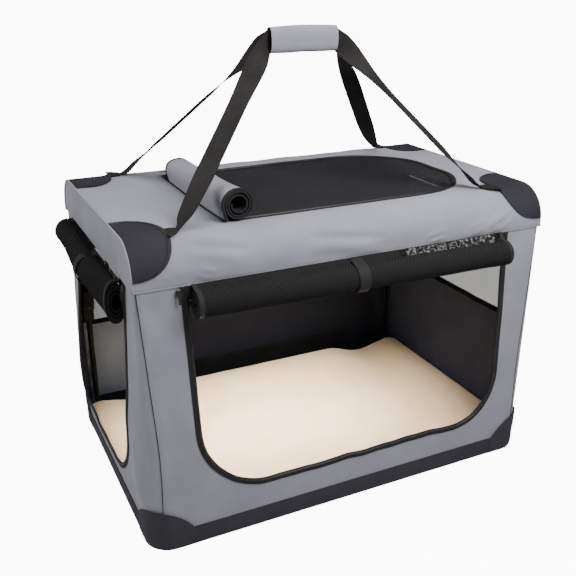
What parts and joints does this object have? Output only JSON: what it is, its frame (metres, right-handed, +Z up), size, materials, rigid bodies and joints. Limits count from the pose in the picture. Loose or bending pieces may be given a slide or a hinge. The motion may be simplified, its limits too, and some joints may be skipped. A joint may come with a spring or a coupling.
{
  "type": "soft-sided folding dog crate",
  "caption": "Soft-sided travel crate for a dog on a folding tube frame, with rolled-up zip doors, mesh windows, a roof hatch, a fleece mat and a carrying handle on webbing straps.",
  "frame": {"origin": "on the floor under the middle of the base panel", "axes": "+Z up, +X along the crate towards the end without a door, -Y towards the front door"},
  "size_m": [1.1193, 0.7522, 1.1246],
  "materials": {
    "grey_cloth": "woven polyester, matt",
    "dark_cloth": "woven polyester, matt",
    "black_mesh": "fine open mesh",
    "black_tape": "zip tape and binding",
    "webbing": "woven webbing",
    "fleece": "short fleece pile",
    "frame_paint": "black powder coat on steel tube",
    "black_plastic": "moulded, matt",
    "rivet_metal": "plated rivet"
  },
  "bodies": {
    "root": {"base_panel": "dark_cloth", "base_loop": "frame_paint", "base_skirt": "dark_cloth", "floor_mat": "fleece", "front_wall": "grey_cloth", "right_wall": "grey_cloth", "back_wall": "grey_cloth", "left_wall": "grey_cloth", "back_window_mesh": "black_mesh", "right_window_mesh": "black_mesh", "front_door_tape": "black_tape", "left_door_tape": "black_tape", "base_saddle_front_left": "black_plastic", "base_saddle_back_left": "black_plastic", "base_saddle_front_right": "black_plastic", "base_saddle_back_right": "black_plastic"},
    "lower_left": {"lower_legs_left": "frame_paint", "lower_knuckle_front_left": "black_plastic", "lower_knuckle_back_left": "black_plastic", "knee_pin_front_left": "rivet_metal", "knee_pin_back_left": "rivet_metal"},
    "upper_left": {"upper_legs_left": "frame_paint", "upper_knuckle_front_left": "black_plastic", "upper_knuckle_back_left": "black_plastic"},
    "top": {"top_loop": "frame_paint", "roof": "grey_cloth", "roof_mesh": "black_mesh", "roof_hatch_tape": "black_tape", "left_end_valance": "grey_cloth", "right_end_valance": "grey_cloth", "corner_patch_front_left": "dark_cloth", "corner_patch_back_left": "dark_cloth", "corner_patch_front_right": "dark_cloth", "corner_patch_back_right": "dark_cloth", "top_saddle_front_left": "black_plastic", "top_saddle_back_left": "black_plastic", "top_saddle_front_right": "black_plastic", "top_saddle_back_right": "black_plastic"},
    "lower_right": {"lower_legs_right": "frame_paint", "lower_knuckle_front_right": "black_plastic", "lower_knuckle_back_right": "black_plastic", "knee_pin_front_right": "rivet_metal", "knee_pin_back_right": "rivet_metal"},
    "upper_right": {"upper_legs_right": "frame_paint", "upper_knuckle_front_right": "black_plastic", "upper_knuckle_back_right": "black_plastic"},
    "handle": {"handle_grip": "grey_cloth", "front_strap": "webbing", "back_strap": "webbing"},
    "front_roll": {"front_door_roll": "black_mesh", "front_roll_band": "dark_cloth"},
    "left_roll": {"left_door_roll": "black_mesh", "left_roll_band": "dark_cloth"},
    "roof_roll": {"roof_cover_roll": "grey_cloth"},
    "front_slider": {"front_slider": "black_plastic"},
    "left_slider": {"left_slider": "black_plastic"},
    "roof_slider": {"roof_slider": "black_plastic"},
    "front_pull": {"front_slider_pull": "black_plastic"},
    "left_pull": {"left_slider_pull": "black_plastic"},
    "roof_pull": {"roof_slider_pull": "black_plastic"}
  },
  "joints": [
    {"name": "fold", "type": "hinge", "parent": "root", "child": "lower_left", "pos_m": [-0.5, 0, 0.036], "axis": [0, 1, 0], "range_deg": [0, 81], "deforming": ["front_wall", "right_wall", "back_wall", "left_wall", "back_window_mesh", "right_window_mesh", "front_door_tape", "left_door_tape", "front_door_roll", "front_roll_band", "left_door_roll", "left_roll_band"]},
    {"name": "knee_left", "type": "hinge", "parent": "lower_left", "child": "upper_left", "pos_m": [-0.5, 0, 0.363], "axis": [0, 1, 0], "range_deg": [-162, 0]},
    {"name": "top_level", "type": "hinge", "parent": "upper_left", "child": "top", "pos_m": [-0.5, 0, 0.69], "axis": [0, 1, 0], "range_deg": [0, 81]},
    {"name": "fold_right", "type": "hinge", "parent": "root", "child": "lower_right", "pos_m": [0.5, 0, 0.036], "axis": [0, 1, 0], "range_deg": [-81, 0]},
    {"name": "knee_right", "type": "hinge", "parent": "lower_right", "child": "upper_right", "pos_m": [0.5, 0, 0.363], "axis": [0, 1, 0], "range_deg": [0, 162]},
    {"name": "handle_drop", "type": "slide", "parent": "top", "child": "handle", "axis": [0, 0, 1], "range_m": [-0.3, 0], "deforming": ["front_strap", "back_strap"]},
    {"name": "front_roll_lift", "type": "hinge", "parent": "top", "child": "front_roll", "pos_m": [0, -0.338, 0.641], "axis": [-1, 0, 0], "range_deg": [0, 60]},
    {"name": "left_roll_lift", "type": "hinge", "parent": "top", "child": "left_roll", "pos_m": [-0.5275, 0, 0.641], "axis": [0, 1, 0], "range_deg": [0, 60]},
    {"name": "roof_roll_lift", "type": "hinge", "parent": "top", "child": "roof_roll", "pos_m": [-0.29, 0, 0.7396], "axis": [0, -1, 0], "range_deg": [0, 30]},
    {"name": "front_zip", "type": "slide", "parent": "top", "child": "front_slider", "axis": [0, 0.0292, 0.9996], "range_m": [-0.33, 0]},
    {"name": "left_zip", "type": "slide", "parent": "top", "child": "left_slider", "axis": [0.0109, 0, 0.9999], "range_m": [-0.34, 0]},
    {"name": "roof_zip", "type": "slide", "parent": "top", "child": "roof_slider", "axis": [1, 0, 0], "range_m": [0, 0.48]},
    {"name": "front_pull_swing", "type": "hinge", "parent": "front_slider", "child": "front_pull", "pos_m": [-0.4315, -0.34393, 0.62979], "axis": [-1, 0, 0], "range_deg": [0, 150]},
    {"name": "left_pull_swing", "type": "hinge", "parent": "left_slider", "child": "left_pull", "pos_m": [-0.53347, -0.2675, 0.62967], "axis": [0, 1, 0], "range_deg": [0, 150]},
    {"name": "roof_pull_swing", "type": "hinge", "parent": "roof_slider", "child": "roof_pull", "pos_m": [-0.27, 0.2115, 0.7462], "axis": [0, 1, 0], "range_deg": [0, 150]}
  ],
  "couplings": [
    {"joint": "knee_left", "follows": "fold", "ratio": -2},
    {"joint": "top_level", "follows": "fold", "ratio": 1},
    {"joint": "fold_right", "follows": "fold", "ratio": -1},
    {"joint": "knee_right", "follows": "fold", "ratio": 2}
  ]
}
